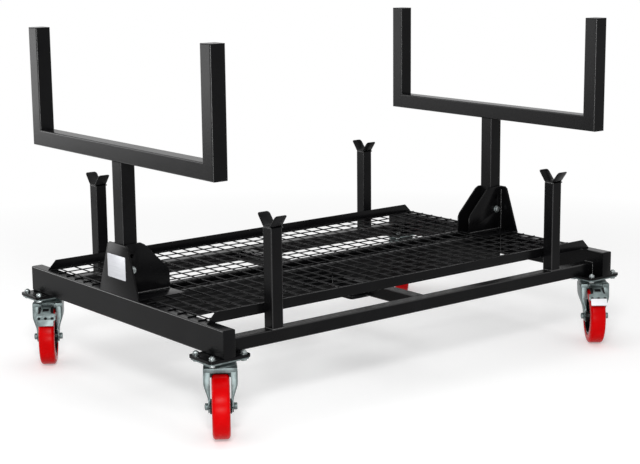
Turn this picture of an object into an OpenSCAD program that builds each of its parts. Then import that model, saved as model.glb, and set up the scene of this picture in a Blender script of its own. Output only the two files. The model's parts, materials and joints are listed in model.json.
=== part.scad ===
// Wheeled rack for long bundles and sheets: a low steel frame with a wire mesh
// deck, two bolted U cradles, four V posts and four swivel casters.
// X runs along the rack, Y across it and Z up. The floor is at zero height, and
// the origin is under the middle of the box that holds the whole rack.

/* [Frame] */
// Length of the frame, over the outer faces of the end beams
frame_l = 1580; // [1400:10:2400]
// Width of the frame, over the ends of the end beams
frame_w = 1080; // [900:10:1500]
// Height of an end beam's section
beam_h = 80; // [70:1:120]
// Depth of an end beam's section, along the rack
beam_d = 40; // [36:1:60]
// Wall of every tube
tube_t = 3; // [2:0.5:4]
// Corner radius of every tube
tube_r = 4; // [2:0.5:6]
// Thickness of the plates that close open tube ends
cap_t = 3; // [2:0.5:5]
// Side of the square side rails and of the cross member
rail_s = 40; // [30:1:50]
// Distance from a beam's end to the outer face of the side rail
rail_inset = 45; // [30:1:60]
// Depth of a centre runner, across the rack
runner_d = 20; // [15:1:30]
// Height of a centre runner, flush with the end beams at its top
runner_h = 90; // [80:1:110]
// Clear gap between the two centre runners
runner_gap = 86; // [60:1:120]

/* [Deck] */
// Distance between neighbouring wires of the mesh
mesh_pitch = 52; // [40:1:80]
// Thickness of a wire
wire_d = 4; // [3:0.5:6]
// Depth by which crossing wires are welded into each other
wire_weld = 0.5; // [0.3:0.1:1]
// Distance from a beam's outer face to the end of the mesh and of the lips
deck_rim = 9; // [5:1:20]
// Gap between the near and the far mesh panel
panel_gap = 6; // [2:1:20]
// Gap between a mesh panel and the foot of a cradle bracket
notch_gap = 0.5; // [0.3:0.1:2]
// Height of a lip
lip_h = 30; // [20:1:40]
// Thickness of a lip
lip_t = 4; // [3:0.5:6]
// Gap between a lip and the V posts beside it
lip_gap = 5; // [2:1:12]

/* [Cradles] */
// Side of the square tube of the cradles
cradle_s = 50; // [40:1:60]
// Width of a cradle, over the outer faces of its arms
cradle_w = 1000; // [700:10:1200]
// Height of a cradle's bar above the frame, to its underside
cradle_rise = 402; // [300:1:600]
// Height of an arm above the underside of the bar
arm_h = 370; // [200:1:500]

/* [Cradle brackets] */
// Thickness of the bracket plates
plate_t = 6; // [5:0.5:10]
// Height of a bracket above the frame
bracket_h = 158; // [140:1:220]
// Width of a bracket's outer plate at its foot
bracket_foot_w = 220; // [160:1:280]
// Width of a bracket's outer plate at its top
bracket_top_w = 106; // [80:1:150]
// Length of a wing at its top, from the bracket's outer face
wing_top_l = 70; // [62:1:90]
// Length of a wing at its foot, from the bracket's outer face
wing_foot_l = 162; // [130:1:200]
// Height at which a wing starts to narrow
wing_knee_h = 64; // [30:1:90]
// Bevel on the free corners of the bracket plates
plate_bevel = 7; // [3:0.5:12]
// Diameter of the holes for the cradle bolt
cradle_hole_d = 13; // [12.5:0.5:18]
// Height of the lower hole above the frame
cradle_hole_rise = 78; // [60:1:100]
// Distance between the lower and the upper hole
cradle_hole_pitch = 43; // [25:1:60]
// Diameter of the cradle bolt
cradle_bolt_d = 12; // [8:0.5:12]
// Width of the cradle bolt's hexagon, over its flats
cradle_hex = 18; // [16:1:24]
// Height of the cradle bolt's head and nut
cradle_hex_h = 8; // [5:1:14]

/* [V posts] */
// Distance from the frame's end to the middle of a V post
vpost_inset = 220; // [180:1:400]
// Height of a V post above the end beams, without its saddle
vpost_rise = 250; // [100:1:400]
// Spread of a saddle, over its two tips
saddle_w = 90; // [60:1:140]
// Height of a saddle
saddle_h = 38; // [20:1:60]
// Thickness of a saddle
saddle_t = 5; // [3:0.5:8]
// Corner radius of a saddle's tips
saddle_r = 7; // [2:0.5:12]

/* [Caster pads] */
// Length of a pad, along the rack
pad_l = 140; // [130:1:180]
// Width of a pad, across the rack
pad_w = 110; // [102:1:140]
// Thickness of a pad
pad_t = 8; // [5:0.5:12]
// Corner radius of a pad
pad_r = 12; // [4:1:20]
// Distance between the bolt holes, along the rack
hole_l = 105; // [100:1:112]
// Distance between the bolt holes, across the rack
hole_w = 80; // [74:1:84]
// Diameter of the bolt holes
hole_d = 11; // [10.5:0.5:13]
// Distance from the frame's end to a caster's swivel axis
caster_set = 25; // [20:1:60]
// Distance from a beam's end to a caster's swivel axis
caster_inset = 55; // [50:1:80]
// Distance from the rack's middle to the middle of a centre pad
centre_pad_y = 163; // [130:1:300]

/* [Caster bolts] */
// Diameter of a caster bolt
bolt_d = 10; // [8:0.5:10]
// Width of a caster bolt's hexagon, over its flats
bolt_hex = 16; // [13:1:17]
// Height of a caster bolt's head
bolt_head_h = 6; // [4:0.5:7]
// Height of a caster bolt's nut
bolt_nut_h = 8; // [5:0.5:10]
// Length of thread that shows above the nut
bolt_tail = 3; // [1:0.5:8]

/* [Casters] */
// Height of a caster, from the floor to the top of its plate
caster_h = 218; // [214:1:240]
// Distance from a swivel axis to the wheel's axis
trail = 45; // [30:1:60]
// Direction in which the near left wheel trails, from +X
near_left_turn = 235.5; // [180:0.5:270]
// Direction in which the far left wheel trails, from +X
far_left_turn = 236.5; // [180:0.5:270]
// Direction in which the near right wheel trails, from +X
near_right_turn = 231; // [180:0.5:270]
// Direction in which the far right wheel trails, from +X
far_right_turn = 230; // [180:0.5:270]
// Length of the caster's own top plate
plate_l = 135; // [128:1:180]
// Width of the caster's own top plate
plate_w = 105; // [98:1:140]
// Thickness of the caster's own top plate
top_t = 5; // [4:0.5:8]
// Diameter of the upper ball race
race_d = 66; // [50:1:80]
// Height of the upper ball race
race_h = 9.7; // [8:0.1:12]
// Diameter of the kingpin
kingpin_d = 12; // [10:0.5:16]
// Width of the kingpin's nut, over its flats
kingpin_hex = 19; // [18:1:26]
// Height of the kingpin's nut
kingpin_nut_h = 7; // [5:0.5:9]

/* [Forks] */
// Width of a fork at its shoulders
fork_w = 95; // [90:1:100]
// Width of a fork at the axle
fork_foot_w = 70; // [66:1:80]
// Wall of a fork's legs
fork_t = 4; // [3:0.5:5]
// Thickness of a fork's crown
crown_t = 5; // [4:0.5:6]
// Diameter of the crown
crown_d = 92; // [80:1:96]
// Depth of the shoulders, along the rolling direction
shoulder_l = 60; // [50:1:70]
// Height of the lower end of the shoulders above the axle
fork_knee_hi = 62; // [45:1:75]
// Height of the narrow end of the legs above the axle
fork_knee_lo = 24; // [15:1:40]
// Radius of a leg's round end
fork_end_r = 17; // [13:1:20]
// Diameter of the lower ball race
cup_d = 76; // [60:1:80]
// Height of the lower ball race
cup_h = 11; // [8:0.5:13]
// Slack between the two ball races and at the kingpin's nut
race_gap = 0.3; // [0.2:0.1:1]

/* [Wheels] */
// Diameter of a wheel
wheel_d = 180; // [160:1:186]
// Width of a tyre
wheel_w = 50; // [40:1:52]
// Corner radius of a tyre
tyre_r = 9; // [3:1:12]
// Diameter of the core under the tyre
core_d = 130; // [100:1:140]
// Thickness of the core's rim
rim_t = 10; // [6:1:16]
// Distance by which the rim is narrower than the tyre, at each side
rim_in = 2; // [1:0.5:5]
// Thickness of the core's web
web_t = 14; // [8:1:30]
// Diameter of the core's hub
hub_d = 42; // [30:1:60]
// Slack between the hub and each leg of the fork
hub_gap = 0.5; // [0.3:0.1:1]
// Diameter of an axle
axle_d = 12; // [10:0.5:16]
// Radial slack of the running fits
running_fit = 0.05; // [0.02:0.01:0.1]
// Radial slack of the plain holes that the axle passes
plain_fit = 0.2; // [0.1:0.05:0.5]
// Width of the axle's hexagon, over its flats
axle_hex = 18; // [16:1:24]
// Height of the axle's head and nut
axle_hex_h = 10; // [5:0.5:12]

/* [Brakes] */
// Least distance from the tread to a brake pedal
pedal_gap = 13; // [11:0.5:16]
// Height of the step in a brake pedal
pedal_step = 7; // [3:0.5:9]
// Thickness of a brake pedal
pedal_t = 3; // [2:0.5:4]
// Width of a pedal beside its hinge
pedal_neck_w = 40; // [30:1:44]
// Width of the pedal's tread bar
pedal_bar_w = 62; // [50:1:70]
// Width of the pedal's lower flap
pedal_flap_w = 50; // [40:1:60]
// Diameter of the hinge pin of a pedal
pin_d = 7; // [5:0.5:8]
// Slack between the pedal's neck and each lug
lug_gap = 2; // [1:0.5:4]
// Thickness of a lug
lug_t = 4; // [3:0.5:6]
// Width of the window in the neck
window_w = 15; // [8:1:20]
// Length of the window in the neck
window_l = 13; // [8:1:18]
// Diameter of the holes in the tread bar
bar_hole_d = 6; // [3:0.5:8]
// Thickness of the pad on the near right pedal
brake_pad_t = 4; // [2:0.5:6]
// Distance by which that pad is wider than the flap, at each side
brake_pad_rim = 1; // [0.5:0.5:3]

/* [Hidden] */
$fn = 48;
// Overrun of every cut
over = 1;
black = "#232325";
zinc = "#b9c1c6";
red = "#e01010";
core_black = "#18181a";
white = "#eceff0";

// Heights of the frame
beam_z = caster_h + pad_t;
deck_z = beam_z + beam_h;
bar_z = deck_z + cradle_rise;
vpost_z = deck_z + vpost_rise;
// Half sizes and places of the frame
half_l = frame_l / 2;
half_w = frame_w / 2;
beam_x = half_l - beam_d / 2;
inner_l = frame_l - 2 * beam_d;
rail_y = half_w - rail_inset - rail_s / 2;
runner_y = (runner_gap + runner_d) / 2;
runner_out = runner_gap / 2 + runner_d;
rail_in = rail_y - rail_s / 2;
// Places of the cradles, V posts and lips
post_x = half_l - plate_t - cradle_s / 2;
arm_y = (cradle_w - cradle_s) / 2;
wing_out = cradle_s / 2 + plate_t;
vpost_x = half_l - vpost_inset;
lip_out = rail_in - lip_gap;
lip_in = lip_out - lip_t;
mesh_x = half_l - deck_rim;
// Places and heights of the casters
caster_x = half_l - caster_set;
caster_y = half_w - caster_inset;
axle_z = wheel_d / 2;
plate_z = caster_h - top_t;
crown_z = plate_z - race_h - race_gap;
cup_z = crown_z - crown_t - cup_h;
hub_w = fork_foot_w - 2 * fork_t - 2 * hub_gap;
// Brake pedal: angle from the top of the wheel, and height as a share of the step
pedal_turns = [4, 18, 36, 46, 58];
pedal_step_shares = [0, 0.6, 1, 0.35, 0];
lug_out = pedal_neck_w / 2 + lug_gap + lug_t;
hinge_r = axle_z + pedal_gap + pedal_t / 2;
function pedal_r(i) = axle_z + pedal_gap + pedal_step * pedal_step_shares[i];
function polar(r, turn) = [r * sin(turn), axle_z + r * cos(turn)];

// Reach of a wheel, of a fork's shoulders on the side away from the wheel and of a
// braked wheel's pedal from the swivel axis, along an axis whose share of the rolling
// direction is c and of the axle direction is s
function wheel_reach(c, s) = (trail + axle_z - tyre_r) * abs(c) + (wheel_w / 2 - tyre_r) * abs(s) + tyre_r;
function flap_reach(c, s, r, w, turn) = (trail + r * sin(turn)) * abs(c) + w / 2 * abs(s);
function shoulder_reach(c, s) = (shoulder_l / 2 + crown_t) * abs(c) + fork_w / 2 * abs(s);
function pedal_reach(c, s, t, w) = max(
    flap_reach(c, s, pedal_r(4) + pedal_t + t, w, pedal_turns[4]),
    flap_reach(c, s, pedal_r(3) + pedal_t + t, w, pedal_turns[3]),
    flap_reach(c, s, pedal_r(3) + pedal_t, pedal_bar_w, pedal_turns[3]));
pad_flap_w = pedal_flap_w + 2 * brake_pad_rim;
left_reach = caster_x + max(
    wheel_reach(cos(near_left_turn), sin(near_left_turn)),
    wheel_reach(cos(far_left_turn), sin(far_left_turn)),
    pedal_reach(cos(far_left_turn), sin(far_left_turn), 0, pedal_flap_w));
right_reach = max(
    half_l,
    caster_x + pad_l / 2,
    caster_x + shoulder_reach(cos(near_right_turn), sin(near_right_turn)),
    caster_x + shoulder_reach(cos(far_right_turn), sin(far_right_turn)));
near_reach = caster_y + max(
    wheel_reach(sin(near_left_turn), cos(near_left_turn)),
    wheel_reach(sin(near_right_turn), cos(near_right_turn)),
    pedal_reach(sin(near_right_turn), cos(near_right_turn), brake_pad_t, pad_flap_w));
far_reach = max(
    half_w,
    caster_y + pad_w / 2,
    caster_y + shoulder_reach(sin(far_left_turn), cos(far_left_turn)),
    caster_y + shoulder_reach(sin(far_right_turn), cos(far_right_turn)));
// Place of the frame's middle, which puts the origin under the middle of the box
cart_x = (left_reach - right_reach) / 2;
cart_y = (near_reach - far_reach) / 2;

// Puts a piece that is drawn about the frame's middle in its place
module place() {
    translate([cart_x, cart_y, 0]) children();
}

// Rectangle with round corners
module round_rect(w, h, r) {
    square([w - 2 * r, h], center = true);
    square([w, h - 2 * r], center = true);
    for (x = [-1, 1], y = [-1, 1])
        translate([x * (w / 2 - r), y * (h / 2 - r)]) circle(r = r);
}

// Tube that stands along Z, about its own middle
module tube(w, h, l) {
    linear_extrude(l, center = true) difference() {
        round_rect(w, h, tube_r);
        square([w - 2 * tube_t, h - 2 * tube_t], center = true);
    }
}

module tube_x(w, h, l) rotate([90, 0, 90]) tube(w, h, l);

module tube_y(w, h, l) rotate([90, 0, 0]) tube(w, h, l);

// Hexagon that stands on its base, with two flats facing Y
module hex(af, h) cylinder(d = af / cos(30), h = h, $fn = 6);

// End beam across the rack
module end_beam(side) place() color(black)
    translate([side * beam_x, 0, beam_z + beam_h / 2])
        tube_y(beam_d, beam_h, frame_w - 2 * cap_t);

// Plates that close the four ends of the end beams
module beam_caps() place() color(black)
    for (x = [-1, 1], y = [-1, 1])
        translate([x * beam_x, y * (half_w - cap_t / 2), beam_z + beam_h / 2])
            rotate([90, 0, 0]) linear_extrude(cap_t, center = true)
                round_rect(beam_d, beam_h, tube_r);

// Side rail between the end beams
module side_rail(side) place() color(black)
    translate([0, side * rail_y, beam_z + rail_s / 2]) tube_x(rail_s, rail_s, inner_l);

// Tall runner beside the rack's middle line
module centre_runner(side) place() color(black)
    translate([0, side * runner_y, deck_z - runner_h / 2]) tube_x(runner_d, runner_h, inner_l);

// Cross member in three lengths: rail to runner, between the runners, runner to rail
module cross_member() place() color(black)
    translate([0, 0, beam_z + rail_s / 2]) {
        for (y = [-1, 1])
            translate([0, y * (rail_in + runner_out) / 2, 0])
                tube_y(rail_s, rail_s, rail_in - runner_out);
        tube_y(rail_s, rail_s, runner_gap);
    }

// Plate with four bolt holes, standing on its base
module bolt_plate(l, w, t) {
    difference() {
        linear_extrude(t) round_rect(l, w, pad_r);
        for (x = [-1, 1], y = [-1, 1])
            translate([x * hole_l / 2, y * hole_w / 2, -over])
                cylinder(d = hole_d, h = t + 2 * over);
    }
}

// Pads under the cross member, like those of the casters
module centre_pads() place() color(black)
    for (y = [-1, 1])
        translate([0, y * centre_pad_y, caster_h]) bolt_plate(pad_l, pad_w, pad_t);

// Pads under the four corners of the frame
module caster_pads() place() color(black)
    for (x = [-1, 1], y = [-1, 1])
        translate([x * caster_x, y * caster_y, caster_h]) bolt_plate(pad_l, pad_w, pad_t);

// Half width of a bracket's outer plate at a height above its foot
function bracket_half(z) = (bracket_foot_w - (bracket_foot_w - bracket_top_w) * z / bracket_h) / 2;
// Height of a wing's sloping edge at a distance from the bracket's outer face
function wing_edge(u) = bracket_h
    - (bracket_h - wing_knee_h) * (u - wing_top_l) / (wing_foot_l - wing_top_l);

// Puts a piece of the left bracket, drawn inwards from its outer face, on both end beams
module at_brackets() place() color(black)
    for (side = [-1, 1])
        mirror([side > 0 ? 1 : 0, 0, 0]) translate([-half_l, 0, deck_z]) children();

// Foot plates of the cradle brackets, which reach out on the near side only
module bracket_feet() at_brackets()
    translate([plate_t, -bracket_foot_w / 2, 0])
        cube([wing_foot_l - plate_t, bracket_foot_w / 2 + wing_out, plate_t]);

// Outer plates of the brackets
module bracket_faces() at_brackets()
    rotate([90, 0, 90]) linear_extrude(plate_t) polygon([
        [-bracket_foot_w / 2, 0],
        [bracket_foot_w / 2, 0],
        [bracket_half(bracket_h - plate_bevel), bracket_h - plate_bevel],
        [bracket_top_w / 2 - plate_bevel, bracket_h],
        [plate_bevel - bracket_top_w / 2, bracket_h],
        [-bracket_half(bracket_h - plate_bevel), bracket_h - plate_bevel]]);

// Two wings on each foot plate, which hold the post between them
module bracket_wings() at_brackets() difference() {
    for (y = [-1, 1])
        translate([0, y * (cradle_s + plate_t) / 2, 0]) rotate([90, 0, 0])
            linear_extrude(plate_t, center = true) polygon([
                [plate_t, plate_t],
                [wing_foot_l, plate_t],
                [wing_foot_l, wing_knee_h - plate_bevel],
                [wing_foot_l - plate_bevel, wing_edge(wing_foot_l - plate_bevel)],
                [wing_top_l + plate_bevel, wing_edge(wing_top_l + plate_bevel)],
                [wing_top_l - plate_bevel, bracket_h],
                [plate_t, bracket_h]]);
    cradle_holes();
}

// Two holes across the wings and the post, from a bracket's outer face
module cradle_holes() {
    for (z = [cradle_hole_rise, cradle_hole_rise + cradle_hole_pitch])
        translate([plate_t + cradle_s / 2, 0, z]) rotate([90, 0, 0])
            cylinder(d = cradle_hole_d, h = 2 * (wing_out + over), center = true);
}

// Post of a cradle, standing on the bracket's foot plate
module cradle_post(side) place() color(black)
    mirror([side > 0 ? 1 : 0, 0, 0]) translate([-half_l, 0, deck_z]) difference() {
        translate([plate_t + cradle_s / 2, 0, (plate_t + cradle_rise) / 2])
            tube(cradle_s, cradle_s, cradle_rise - plate_t);
        cradle_holes();
    }

// Wedge that cuts the mitre at a lower corner of a cradle, on the bar's side
module mitre(side, below) translate([0, side * cradle_w / 2, 0])
    rotate([below ? 135 * side : -45 * side, 0, 0])
        translate([-cradle_s, -2 * cradle_s, 0])
            cube([2 * cradle_s, 4 * cradle_s, 2 * cradle_s]);

// Bar of a cradle, mitred at both ends
module cradle_bar(side) place() color(black)
    translate([side * post_x, 0, bar_z]) difference() {
        translate([0, 0, cradle_s / 2]) tube_y(cradle_s, cradle_s, cradle_w);
        for (y = [-1, 1]) mitre(y, false);
    }

// Upright arm of a cradle, mitred at its foot
module cradle_arm(side, across) place() color(black)
    translate([side * post_x, 0, bar_z]) difference() {
        translate([0, across * arm_y, (arm_h - cap_t) / 2]) tube(cradle_s, cradle_s, arm_h - cap_t);
        mitre(across, true);
    }

// Plates that close the tops of the four arms
module arm_caps() place() color(black)
    for (x = [-1, 1], y = [-1, 1])
        translate([x * post_x, y * arm_y, bar_z + arm_h - cap_t])
            linear_extrude(cap_t) round_rect(cradle_s, cradle_s, tube_r);

// One bolt with its nut through the wings and the post of each bracket
module cradle_bolts() place() color(zinc)
    for (x = [-1, 1]) translate([x * post_x, 0, deck_z + cradle_hole_rise]) {
        rotate([90, 0, 0])
            cylinder(d = cradle_bolt_d, h = 2 * (wing_out + cradle_hex_h), center = true);
        for (y = [-1, 1])
            translate([0, y * wing_out, 0]) rotate([-90 * y, 0, 0]) hex(cradle_hex, cradle_hex_h);
    }

// Post on a side rail that carries a V saddle
module v_post(side, across) place() color(black)
    translate([side * vpost_x, across * rail_y, (beam_z + rail_s + vpost_z) / 2])
        tube(rail_s, rail_s, vpost_z - beam_z - rail_s);

// Bent plate with two flared tabs, open across the rack
module v_saddle(side, across) place() color(black)
    translate([side * vpost_x, across * rail_y, vpost_z]) intersection() {
        rotate([90, 0, 90]) linear_extrude(rail_s, center = true) polygon([
            [-rail_s / 2 + saddle_t, 0],
            [rail_s / 2 - saddle_t, 0],
            [rail_s / 2, saddle_t],
            [saddle_w / 2, saddle_h],
            [saddle_w / 2 - saddle_t, saddle_h],
            [rail_s / 2 - saddle_t, saddle_t + saddle_t / 2],
            [rail_s / 2 - 2 * saddle_t, saddle_t],
            [2 * saddle_t - rail_s / 2, saddle_t],
            [saddle_t - rail_s / 2, saddle_t + saddle_t / 2],
            [saddle_t - saddle_w / 2, saddle_h],
            [-saddle_w / 2, saddle_h],
            [-rail_s / 2, saddle_t]]);
        rotate([90, 0, 0]) linear_extrude(2 * saddle_w, center = true) {
            translate([-rail_s / 2, 0]) square([rail_s, saddle_h - saddle_r]);
            translate([saddle_r - rail_s / 2, 0]) square([rail_s - 2 * saddle_r, saddle_h]);
            for (x = [-1, 1])
                translate([x * (rail_s / 2 - saddle_r), saddle_h - saddle_r]) circle(r = saddle_r);
        }
    }

// Straight wire of the mesh along X, with eight flats
module wire(l) rotate([90, 0, 90]) rotate([0, 0, 22.5])
    cylinder(d = wire_d / cos(22.5), h = l, center = true, $fn = 8);

// Mesh panel: long wires below, cross wires welded on top, notched at the brackets.
// The far panel is cut half a cell off the near one.
module deck_mesh(side) place() color(black) {
    panel_w = lip_in - panel_gap / 2;
    long_n = floor((panel_w - wire_d) / mesh_pitch) + (side > 0 ? 1 : 0);
    long_0 = (lip_in + panel_gap / 2 - (long_n - 1) * mesh_pitch) / 2;
    cross_n = floor(2 * mesh_x / mesh_pitch);
    cross_0 = -(cross_n - 1) * mesh_pitch / 2;
    notch_l = wing_foot_l + notch_gap;
    translate([0, 0, deck_z + wire_d / 2]) difference() {
        union() {
            for (i = [0 : long_n - 1])
                translate([0, side * (long_0 + i * mesh_pitch), 0]) wire(2 * mesh_x);
            for (i = [0 : cross_n - 1])
                translate([cross_0 + i * mesh_pitch, side * (lip_in + panel_gap / 2) / 2, wire_d - wire_weld])
                    rotate([0, 0, 90]) wire(panel_w);
        }
        for (x = [-1, 1])
            translate([x * half_l - notch_l, -bracket_foot_w / 2 - notch_gap, -2 * wire_d])
                cube([2 * notch_l, bracket_foot_w / 2 + wing_out + 2 * notch_gap, 4 * wire_d]);
    }
}

// Flat bar on edge beside the mesh, with its ends cut at 45 degrees
module deck_lip(side) place() color(black)
    translate([0, side * (lip_out - lip_t / 2), deck_z]) rotate([90, 0, 0])
        linear_extrude(lip_t, center = true) polygon([
            [-mesh_x, 0],
            [mesh_x, 0],
            [mesh_x - lip_h, lip_h],
            [lip_h - mesh_x, lip_h]]);

// Four bolts with their nuts at each caster
module caster_bolts() place() color(zinc)
    for (cx = [-1, 1], cy = [-1, 1], x = [-1, 1], y = [-1, 1])
        translate([cx * caster_x + x * hole_l / 2, cy * caster_y + y * hole_w / 2, 0]) {
            translate([0, 0, plate_z - bolt_head_h]) hex(bolt_hex, bolt_head_h);
            translate([0, 0, plate_z - bolt_head_h / 2])
                cylinder(d = bolt_d, h = bolt_head_h / 2 + top_t + pad_t + bolt_nut_h + bolt_tail);
            translate([0, 0, beam_z]) hex(bolt_hex, bolt_nut_h);
        }

// Top plate of a caster with its ball race, kingpin and nut
module top_plate(side, across) place() color(zinc)
    translate([side * caster_x, across * caster_y, 0]) {
        translate([0, 0, plate_z]) bolt_plate(plate_l, plate_w, top_t);
        translate([0, 0, plate_z - race_h]) cylinder(d1 = race_d - race_h / 2, d2 = race_d, h = race_h);
        translate([0, 0, cup_z - race_gap]) cylinder(d = kingpin_d, h = plate_z - cup_z);
        translate([0, 0, cup_z - race_gap - kingpin_nut_h]) hex(kingpin_hex, kingpin_nut_h);
    }

// Puts a piece drawn about a swivel axis, with its wheel trailing along +X, in its place
module at_caster(side, across, turn) place()
    translate([side * caster_x, across * caster_y, 0]) rotate([0, 0, turn]) children();

// Outline of a fork seen along the rolling direction, drawn in Y and Z
module fork_front(in, top) polygon([
    [-fork_foot_w / 2 + in, -over],
    [fork_foot_w / 2 - in, -over],
    [fork_foot_w / 2 - in, axle_z + fork_knee_lo],
    [fork_w / 2 - in, axle_z + fork_knee_hi],
    [fork_w / 2 - in, top - crown_t],
    [fork_w / 2 - in - crown_t, top],
    [crown_t + in - fork_w / 2, top],
    [in - fork_w / 2, top - crown_t],
    [in - fork_w / 2, axle_z + fork_knee_hi],
    [in - fork_foot_w / 2, axle_z + fork_knee_lo]]);

// Outline of a leg seen along the axle, drawn in X and Z
module fork_side() {
    polygon([
        [-shoulder_l / 2, crown_z],
        [shoulder_l / 2, crown_z],
        [trail + crown_t, crown_z - 3 * crown_t],
        [trail + fork_end_r, axle_z],
        [trail - fork_end_r, axle_z],
        [-shoulder_l / 3, axle_z + fork_knee_hi],
        [-shoulder_l / 2 - crown_t, crown_z - 3 * crown_t]]);
    translate([trail, axle_z]) circle(r = fork_end_r);
}

// Swivelling fork with its crown, lower ball race and, on a braked caster, two lugs
module fork(side, across, turn, braked) at_caster(side, across, turn) color(zinc)
    difference() {
        union() {
            intersection() {
                rotate([90, 0, 0]) linear_extrude(fork_w, center = true) fork_side();
                rotate([90, 0, 90]) linear_extrude(2 * fork_w + 2 * trail, center = true)
                    difference() {
                        fork_front(0, crown_z);
                        fork_front(fork_t, crown_z - crown_t);
                    }
            }
            translate([0, 0, crown_z - crown_t]) cylinder(d = crown_d, h = crown_t);
            translate([0, 0, cup_z]) cylinder(d1 = cup_d - cup_h, d2 = cup_d, h = cup_h);
            if (braked) for (y = [-1, 1]) pedal_lug(y);
        }
        translate([0, 0, cup_z - over])
            cylinder(d = kingpin_d + 2 * running_fit, h = crown_z - cup_z + 2 * over);
        translate([trail, 0, axle_z]) rotate([90, 0, 0])
            cylinder(d = axle_d + 2 * plain_fit, h = fork_w, center = true);
    }

// Lug that carries one end of a pedal's hinge pin
module pedal_lug(y) {
    p = polar(hinge_r, pedal_turns[0]);
    translate([0, y * (lug_out - lug_t / 2), 0]) rotate([90, 0, 0])
        linear_extrude(lug_t, center = true) difference() {
            polygon([
                [shoulder_l / 2, crown_z],
                [trail + crown_t, crown_z],
                [trail + p[0] + pin_d, p[1] + pin_d / 2],
                [trail + p[0] + pin_d, p[1] - pin_d / 2],
                [trail + p[0], p[1] - pin_d],
                [shoulder_l / 2, crown_z - crown_t]]);
            translate([trail + p[0], p[1]]) circle(d = pin_d + 2 * running_fit);
        }
}

// Axle bolt with its nut
module axle(side, across, turn) at_caster(side, across, turn) color(zinc)
    translate([trail, 0, axle_z]) {
        rotate([90, 0, 0]) cylinder(d = axle_d, h = fork_foot_w + 2 * axle_hex_h, center = true);
        for (y = [-1, 1])
            translate([0, y * fork_foot_w / 2, 0]) rotate([-90 * y, 0, 0])
                hex(axle_hex, axle_hex_h);
    }

// Core of a wheel: hub, web and rim about the axle
module wheel_core(side, across, turn) at_caster(side, across, turn) color(core_black)
    translate([trail, 0, axle_z]) rotate([90, 0, 0]) rotate_extrude() {
        bore_r = axle_d / 2 + running_fit;
        rim_w = wheel_w - 2 * rim_in;
        translate([bore_r, -hub_w / 2]) square([hub_d / 2 - bore_r, hub_w]);
        translate([bore_r, -web_t / 2]) square([core_d / 2 - bore_r, web_t]);
        translate([core_d / 2 - rim_t, -rim_w / 2]) square([rim_t, rim_w]);
    }

// Tyre with round tread corners
module tyre(side, across, turn) at_caster(side, across, turn) color(red)
    translate([trail, 0, axle_z]) rotate([90, 0, 0]) rotate_extrude() {
        depth = axle_z - core_d / 2;
        translate([core_d / 2, -wheel_w / 2]) square([depth - tyre_r, wheel_w]);
        translate([core_d / 2, tyre_r - wheel_w / 2]) square([depth, wheel_w - 2 * tyre_r]);
        for (y = [-1, 1])
            translate([axle_z - tyre_r, y * (wheel_w / 2 - tyre_r)]) circle(r = tyre_r);
    }

// Strip of a pedal between two points of its table, drawn in X and Z
module pedal_strip(i, low, high) polygon([
    polar(pedal_r(i) + low, pedal_turns[i]),
    polar(pedal_r(i) + high, pedal_turns[i]),
    polar(pedal_r(i + 1) + high, pedal_turns[i + 1]),
    polar(pedal_r(i + 1) + low, pedal_turns[i + 1])]);

module pedal_plate(i, low, high, w) rotate([90, 0, 0])
    linear_extrude(w, center = true) pedal_strip(i, low, high);

// Puts a cut in the middle of a pedal's strip, square to the strip
module on_strip(i) {
    a = polar(pedal_r(i), pedal_turns[i]);
    b = polar(pedal_r(i + 1), pedal_turns[i + 1]);
    translate([(a[0] + b[0]) / 2, 0, (a[1] + b[1]) / 2])
        rotate([0, atan2(a[1] - b[1], b[0] - a[0]), 0]) children();
}

// Brake pedal over the wheel's trailing side: neck, tread bar, flap and hinge pin
module brake_pedal(side, across, turn) at_caster(side, across, turn) color(zinc)
    translate([trail, 0, 0]) difference() {
        union() {
            pedal_plate(0, 0, pedal_t, pedal_neck_w);
            pedal_plate(1, 0, pedal_t, pedal_neck_w);
            pedal_plate(2, 0, pedal_t, pedal_bar_w);
            pedal_plate(3, 0, pedal_t, pedal_flap_w);
            translate([0, 0, axle_z]) rotate([0, pedal_turns[0], 0])
                translate([0, 0, hinge_r]) rotate([90, 0, 0])
                    cylinder(d = pin_d, h = 2 * lug_out, center = true);
        }
        on_strip(1) cube([window_l, window_w, 4 * pedal_t], center = true);
        on_strip(2) for (y = [-1, 0, 1])
            translate([0, y * pedal_bar_w / 3, 0])
                cylinder(d = bar_hole_d, h = 6 * pedal_t, center = true);
    }

// White pad on the flap of the near right pedal
module brake_pad() at_caster(1, -1, near_right_turn) color(white)
    translate([trail, 0, 0]) pedal_plate(3, pedal_t, pedal_t + brake_pad_t, pad_flap_w);

end_beam(-1);  // end_beam_left
end_beam(1);  // end_beam_right
beam_caps();
side_rail(-1);  // side_rail_near
side_rail(1);  // side_rail_far
centre_runner(-1);  // centre_runner_near
centre_runner(1);  // centre_runner_far
cross_member();
centre_pads();
caster_pads();
bracket_feet();
bracket_faces();
bracket_wings();
cradle_post(-1);  // cradle_post_left
cradle_post(1);  // cradle_post_right
cradle_bar(-1);  // cradle_bar_left
cradle_bar(1);  // cradle_bar_right
cradle_arm(-1, -1);  // cradle_arm_near_left
cradle_arm(1, -1);  // cradle_arm_near_right
cradle_arm(-1, 1);  // cradle_arm_far_left
cradle_arm(1, 1);  // cradle_arm_far_right
arm_caps();
cradle_bolts();
v_post(-1, -1);  // v_post_near_left
v_post(1, -1);  // v_post_near_right
v_post(-1, 1);  // v_post_far_left
v_post(1, 1);  // v_post_far_right
v_saddle(-1, -1);  // v_saddle_near_left
v_saddle(1, -1);  // v_saddle_near_right
v_saddle(-1, 1);  // v_saddle_far_left
v_saddle(1, 1);  // v_saddle_far_right
deck_mesh(-1);  // deck_mesh_near
deck_mesh(1);  // deck_mesh_far
deck_lip(-1);  // deck_lip_near
deck_lip(1);  // deck_lip_far
caster_bolts();
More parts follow.
